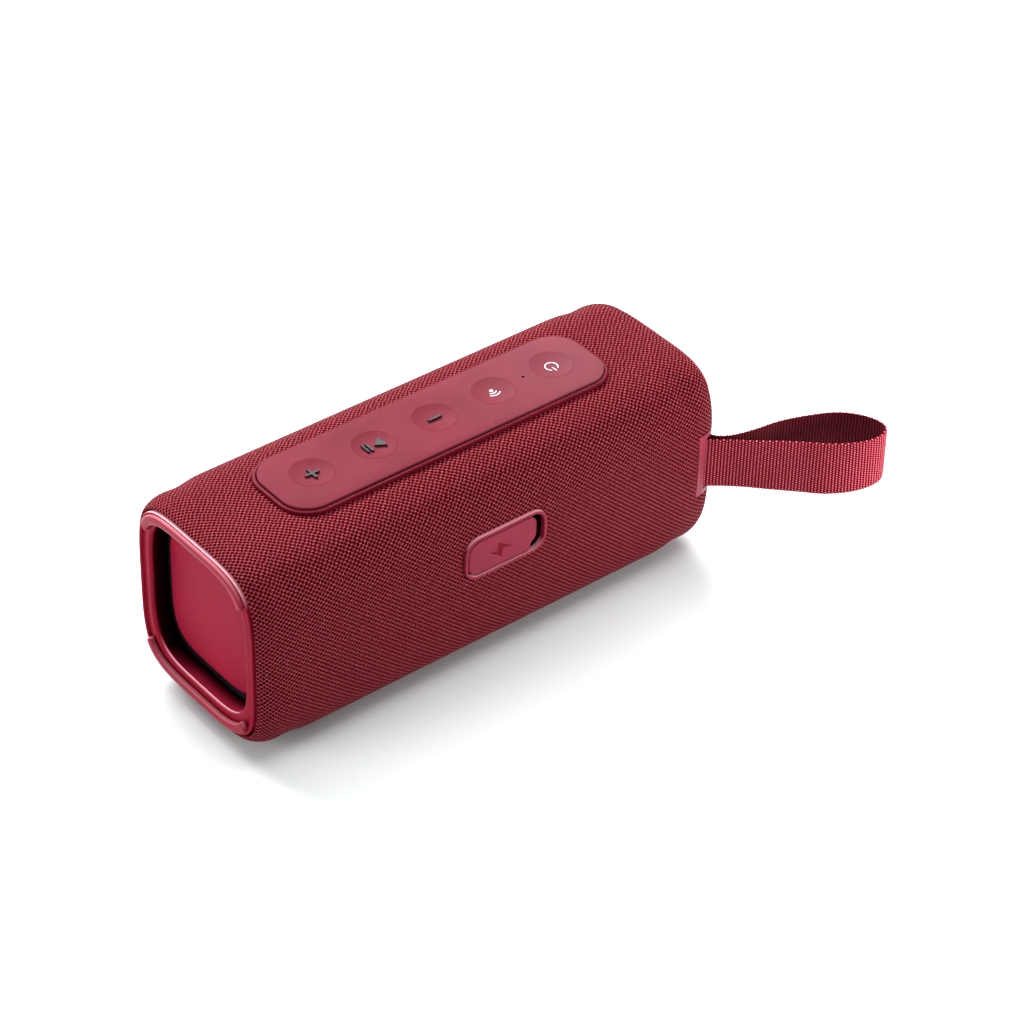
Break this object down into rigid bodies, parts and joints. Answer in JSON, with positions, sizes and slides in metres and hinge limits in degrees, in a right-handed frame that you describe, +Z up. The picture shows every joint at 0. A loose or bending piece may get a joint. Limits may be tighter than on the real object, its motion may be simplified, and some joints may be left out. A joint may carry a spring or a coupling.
{
  "type": "portable wireless speaker",
  "caption": "Rounded box speaker in woven mesh with end radiators, a top key panel, a flapped charging port and a webbing carry loop.",
  "frame": {"origin": "middle of the foot pad's underside, on the surface the speaker stands on", "axes": "+X along the body towards the carry loop, +Y out of the listening side, +Z up"},
  "size_m": [0.2428, 0.1047, 0.0776],
  "materials": {
    "woven_fabric": "open woven polyester mesh",
    "webbing": "ribbed woven webbing",
    "red_plastic": "soft sheen moulded",
    "red_silicone": "matte silicone",
    "radiator_red": "satin",
    "black_rubber": "matte",
    "black_plastic": "moulded grain",
    "cone_paper": "pressed pulp",
    "steel": "plated",
    "circuit_board": "solder mask",
    "cell_sleeve": "shrink sleeve over a metal can",
    "lamp": "clear diffuser"
  },
  "bodies": {
    "cabinet": {"fabric_sleeve": "woven_fabric", "shell_front": "black_plastic", "shell_rear": "black_plastic", "shell_screw_1": "steel", "shell_screw_2": "steel", "shell_screw_3": "steel", "shell_screw_4": "steel", "end_ring_left": "red_plastic", "bumper_rib_left_top": "red_silicone", "bumper_rib_left_bottom": "red_silicone", "radiator_frame_left": "black_plastic", "radiator_surround_left": "black_rubber", "end_ring_right": "red_plastic", "bumper_rib_right_top": "red_silicone", "bumper_rib_right_bottom": "red_silicone", "radiator_frame_right": "black_plastic", "radiator_surround_right": "black_rubber", "panel_trim": "red_plastic", "keypad_mat": "red_silicone", "tact_switch_volume_up": "steel", "tact_switch_play_pause": "steel", "tact_switch_volume_down": "steel", "tact_switch_wireless": "steel", "tact_switch_power": "steel", "key_board": "circuit_board", "status_light": "lamp", "port_bezel": "red_plastic", "port_well": "black_plastic", "usb_socket": "steel", "port_board": "circuit_board", "strap_housing": "red_plastic", "strap_pin": "steel", "driver_basket_left": "steel", "driver_magnet_left": "steel", "driver_surround_left": "black_rubber", "driver_basket_right": "steel", "driver_magnet_right": "steel", "driver_surround_right": "black_rubber", "main_board": "circuit_board", "battery_tray": "black_plastic", "battery_cell_1": "cell_sleeve", "battery_cell_2": "cell_sleeve", "foot_pad": "black_rubber"},
    "button_volume_up": {"button_volume_up": "red_silicone"},
    "button_play_pause": {"button_play_pause": "red_silicone"},
    "button_volume_down": {"button_volume_down": "red_silicone"},
    "button_wireless": {"button_wireless": "red_silicone"},
    "button_power": {"button_power": "red_silicone"},
    "flap": {"port_flap": "red_silicone"},
    "carry_loop": {"strap_webbing": "webbing"},
    "radiator_left": {"radiator_plate_left": "radiator_red"},
    "cone_left": {"driver_cone_left": "cone_paper"},
    "radiator_right": {"radiator_plate_right": "radiator_red"},
    "cone_right": {"driver_cone_right": "cone_paper"}
  },
  "joints": [
    {"name": "press_volume_up", "type": "slide", "parent": "cabinet", "child": "button_volume_up", "axis": [0, 0, -1], "range_m": [0, 0.0006], "stiffness_N_per_m": 1500},
    {"name": "press_play_pause", "type": "slide", "parent": "cabinet", "child": "button_play_pause", "axis": [0, 0, -1], "range_m": [0, 0.0006], "stiffness_N_per_m": 1500},
    {"name": "press_volume_down", "type": "slide", "parent": "cabinet", "child": "button_volume_down", "axis": [0, 0, -1], "range_m": [0, 0.0006], "stiffness_N_per_m": 1500},
    {"name": "press_wireless", "type": "slide", "parent": "cabinet", "child": "button_wireless", "axis": [0, 0, -1], "range_m": [0, 0.0006], "stiffness_N_per_m": 1500},
    {"name": "press_power", "type": "slide", "parent": "cabinet", "child": "button_power", "axis": [0, 0, -1], "range_m": [0, 0.0006], "stiffness_N_per_m": 1500},
    {"name": "flap_hinge", "type": "hinge", "parent": "cabinet", "child": "flap", "pos_m": [-0.0133, -0.0364, 0.0475], "axis": [0, 0, -1], "range_deg": [0, 100]},
    {"name": "carry_loop_swing", "type": "hinge", "parent": "cabinet", "child": "carry_loop", "pos_m": [0.0916, -0.032, 0.0393], "axis": [0, 0, 1], "range_deg": [-15, 30]},
    {"name": "radiator_travel_left", "type": "slide", "parent": "cabinet", "child": "radiator_left", "axis": [-1, 0, 0], "range_m": [-0.003, 0.003], "stiffness_N_per_m": 900},
    {"name": "cone_travel_left", "type": "slide", "parent": "cabinet", "child": "cone_left", "axis": [0, 1, 0], "range_m": [-0.002, 0.002], "stiffness_N_per_m": 800},
    {"name": "radiator_travel_right", "type": "slide", "parent": "cabinet", "child": "radiator_right", "axis": [1, 0, 0], "range_m": [-0.003, 0.003], "stiffness_N_per_m": 900},
    {"name": "cone_travel_right", "type": "slide", "parent": "cabinet", "child": "cone_right", "axis": [0, 1, 0], "range_m": [-0.002, 0.002], "stiffness_N_per_m": 800}
  ]
}
